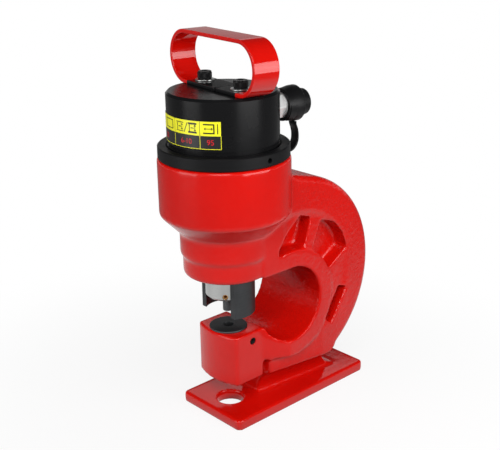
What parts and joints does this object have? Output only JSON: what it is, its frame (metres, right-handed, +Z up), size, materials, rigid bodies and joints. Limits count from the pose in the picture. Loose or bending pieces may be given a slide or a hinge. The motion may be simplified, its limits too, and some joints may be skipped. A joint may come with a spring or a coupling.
{
  "type": "hydraulic hole punch",
  "caption": "Portable hydraulic hole punch: cast C-frame on a base plate, die boss, spring-return ram with punch and stripper, lock ring, capped cylinder, strip handle and capped side coupler.",
  "frame": {"origin": "punch axis at the underside of the base plate, in the mouth of the slug hole", "axes": "+Z up along the punch axis, -Y out of the open front of the throat, +X to the right seen from the front"},
  "size_m": [0.1556, 0.244, 0.4135],
  "materials": {
    "frame_red": "gloss red paint over a cast body",
    "handle_red": "gloss red paint, dark under the screws",
    "black_steel": "satin black oxide",
    "black_screw": "black oxide",
    "tool_steel": "ground tool steel, darkened",
    "stripper_steel": "dark phosphated steel",
    "ram_steel": "ground and hard-chromed",
    "spring_steel": "oiled spring wire",
    "zinc": "bright zinc",
    "coupler_steel": "bright nickel",
    "brass": "turned brass",
    "bronze": "turned bronze",
    "seal_rubber": "moulded rubber",
    "dust_rubber": "moulded rubber",
    "label": "printed film"
  },
  "bodies": {
    "frame": {"base_plate": "frame_red", "c_frame": "frame_red", "die": "tool_steel", "die_screw": "tool_steel", "rod_bush": "bronze", "rod_wiper": "seal_rubber", "return_spring": "spring_steel", "stripper": "stripper_steel", "stripper_screw": "tool_steel", "lock_ring": "black_steel", "cylinder_cap": "black_steel", "label_plate": "label", "handle": "handle_red", "handle_screw_left": "black_screw", "handle_screw_right": "black_screw", "handle_washer_left": "zinc", "handle_washer_right": "zinc", "port_seal": "bronze", "coupler_adapter": "coupler_steel", "coupler_body": "coupler_steel", "coupler_spring": "spring_steel", "coupler_seal": "seal_rubber", "dust_strap": "dust_rubber"},
    "ram": {"ram": "ram_steel", "punch": "tool_steel", "punch_screw": "brass", "piston": "ram_steel", "piston_nut": "tool_steel", "piston_seal": "seal_rubber", "wear_ring": "bronze"},
    "poppet": {"coupler_poppet": "brass"},
    "dust_cap": {"dust_cap": "dust_rubber"}
  },
  "joints": [
    {"name": "ram_slide", "type": "slide", "parent": "frame", "child": "ram", "axis": [0, 0, -1], "range_m": [0, 0.023], "stiffness_N_per_m": 8000, "springref_m": -0.025, "deforming": ["return_spring"]},
    {"name": "poppet_slide", "type": "slide", "parent": "frame", "child": "poppet", "axis": [-0.1392, -0.9903, 0], "range_m": [0, 0.003], "stiffness_N_per_m": 1500, "springref_m": -0.002, "deforming": ["coupler_spring"]},
    {"name": "dust_cap_pull", "type": "slide", "parent": "frame", "child": "dust_cap", "axis": [0.1392, 0.9903, 0], "range_m": [0, 0.03], "deforming": ["dust_strap"]}
  ]
}
